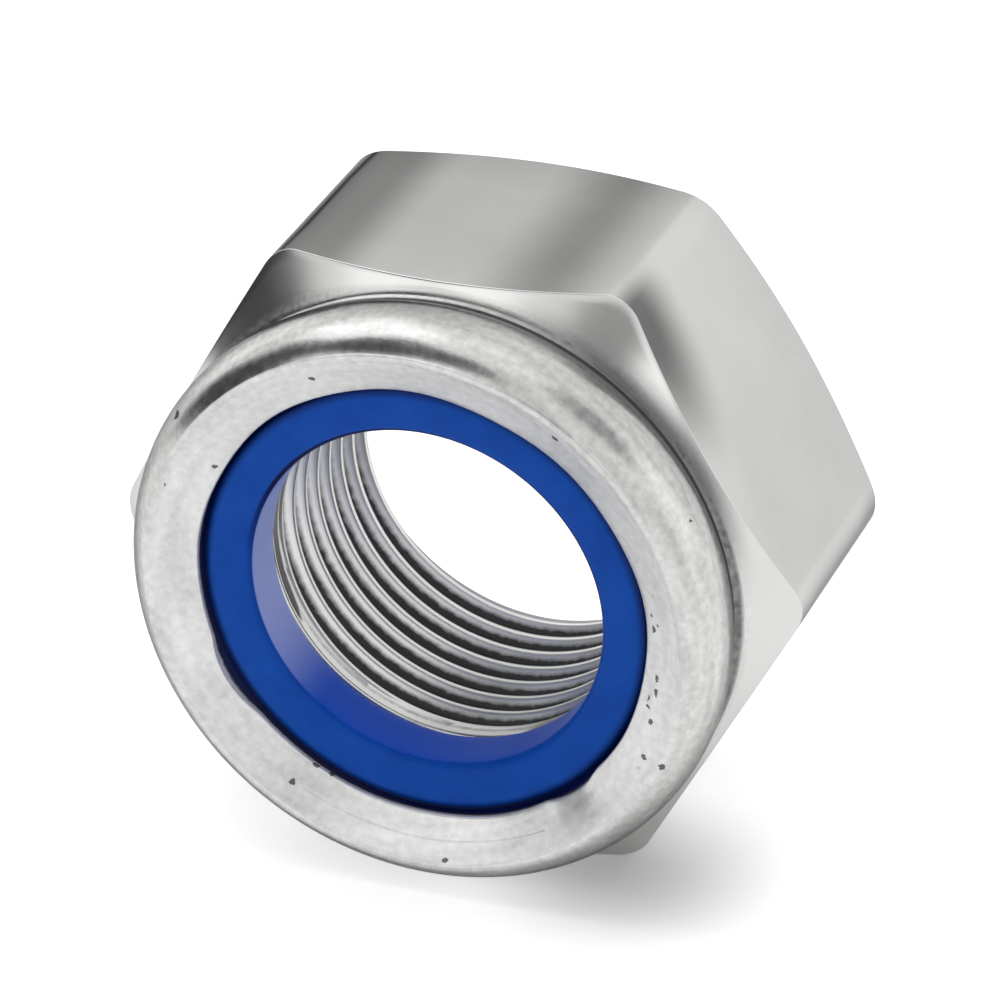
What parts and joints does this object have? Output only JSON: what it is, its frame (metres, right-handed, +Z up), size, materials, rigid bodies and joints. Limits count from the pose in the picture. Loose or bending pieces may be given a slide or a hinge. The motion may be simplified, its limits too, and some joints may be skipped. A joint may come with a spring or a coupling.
{
  "type": "axle lock nut",
  "caption": "Hexagon axle lock nut with a fine thread and a coloured nylon ring held in a rolled collar.",
  "frame": {"origin": "under the middle of the nut, on the plane of the hexagon flat that it stands on", "axes": "+Y along the bore, from the collar to the bearing face; +Z up, square to the flat it stands on; +X across the hexagon's corners"},
  "size_m": [0.034, 0.019, 0.03],
  "materials": {
    "steel": "bright stainless steel, smooth on the flats, slightly rough on the rolled collar",
    "nylon": "blue nylon, satin"
  },
  "bodies": {
    "root": {"nut_body": "steel", "nylon_insert": "nylon"}
  },
  "joints": []
}
